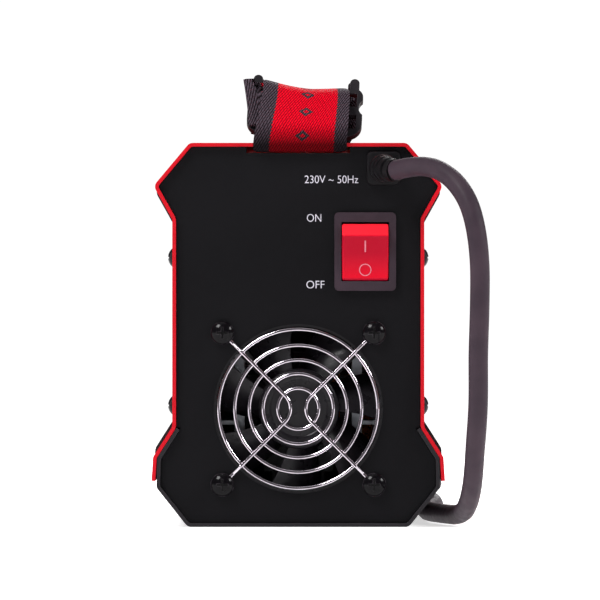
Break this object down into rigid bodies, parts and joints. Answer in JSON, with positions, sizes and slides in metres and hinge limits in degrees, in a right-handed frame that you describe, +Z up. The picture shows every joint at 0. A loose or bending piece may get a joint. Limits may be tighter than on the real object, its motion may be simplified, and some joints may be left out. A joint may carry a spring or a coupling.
{
  "type": "stick welding inverter",
  "caption": "Portable stick welding inverter in a folded steel case with a rear fan and mains switch, front weld sockets and current knob, a carry strap and a mains lead with plug.",
  "frame": {"origin": "on the standing surface, under the middle of the case", "axes": "+Z up, +Y from the rear panel (fan, switch, mains lead) to the front panel, +X to the right as seen from the rear"},
  "size_m": [0.1379, 0.4707, 0.1864],
  "materials": {
    "red_paint": "satin powder coat, fine orange peel",
    "black_paint": "satin black powder coat",
    "panel_black": "matt black powder coat with a fine texture",
    "black_plastic": "moulded, fine texture",
    "fan_plastic": "smooth glass-filled plastic",
    "switch_grey": "moulded, fine spark texture",
    "switch_red": "satin moulded plastic",
    "chrome_wire": "bright plated wire",
    "black_steel": "black oxide",
    "plated_steel": "zinc plated",
    "brass": "turned",
    "bronze": "sintered",
    "lead_rubber": "matt rubber jacket",
    "relief_rubber": "matt moulded rubber",
    "plug_rubber": "moulded, fine texture",
    "webbing": "woven polyester, red with black edges",
    "tie_fabric": "hook and loop tape",
    "slider_plastic": "moulded acetal",
    "knob_plastic": "moulded, fine texture",
    "light_green": "clear tinted lens",
    "light_amber": "clear tinted lens",
    "display_tint": "dark tinted window",
    "module_dark": "potted display module",
    "board_green": "solder mask on glass laminate",
    "aluminium": "extruded",
    "epoxy_black": "moulded epoxy",
    "capacitor_sleeve": "shrink sleeve",
    "ferrite": "sintered ferrite",
    "copper": "enamelled copper"
  },
  "bodies": {
    "case": {"hood": "red_paint", "base_tray": "black_paint", "rear_panel": "panel_black", "front_panel": "panel_black", "front_bezel": "black_plastic", "case_screws": "black_steel", "fan_guard": "chrome_wire", "fan_screws": "black_steel", "fan_nuts": "plated_steel", "fan_frame": "fan_plastic", "fan_bearing": "bronze", "switch_housing": "switch_grey", "switch_terminals": "plated_steel", "strain_relief": "relief_rubber", "power_cord": "lead_rubber", "cord_coil": "lead_rubber", "plug_lead": "lead_rubber", "cord_tie": "tie_fabric", "plug_body": "plug_rubber", "plug_pins": "plated_steel", "strap_webbing": "webbing", "strap_buckle_rear": "slider_plastic", "strap_buckle_front": "slider_plastic", "potentiometer": "plated_steel", "socket_shells": "black_plastic", "socket_inserts": "brass", "socket_nuts": "plated_steel", "power_light": "light_green", "overheat_light": "light_amber", "display_window": "display_tint", "display_module": "module_dark", "control_board": "board_green", "front_screws": "black_steel", "main_board": "board_green", "board_standoffs": "brass", "board_screws": "plated_steel", "heatsink_left": "aluminium", "heatsink_right": "aluminium", "power_transistors": "epoxy_black", "output_diodes": "epoxy_black", "mains_rectifier": "epoxy_black", "bulk_capacitors": "capacitor_sleeve", "transformer_core": "ferrite", "transformer_winding": "copper", "output_choke": "copper", "bus_bar_plus": "copper", "bus_bar_minus": "copper"},
    "rotor": {"fan_rotor": "fan_plastic", "fan_shaft": "plated_steel"},
    "rocker": {"switch_rocker": "switch_red"},
    "knob": {"current_knob": "knob_plastic", "knob_insert": "switch_red", "pot_shaft": "plated_steel"}
  },
  "joints": [
    {"name": "fan_spin", "type": "hinge", "parent": "case", "child": "rotor", "pos_m": [0, -0.1, 0.04775], "axis": [0, 1, 0], "continuous": true},
    {"name": "switch_rock", "type": "hinge", "parent": "case", "child": "rocker", "pos_m": [0.0271, -0.11358, 0.1114], "axis": [-1, 0, 0], "range_deg": [0, 30]},
    {"name": "knob_turn", "type": "hinge", "parent": "case", "child": "knob", "pos_m": [0, 0.12, 0.092], "axis": [0, -1, 0], "range_deg": [0, 270]}
  ]
}
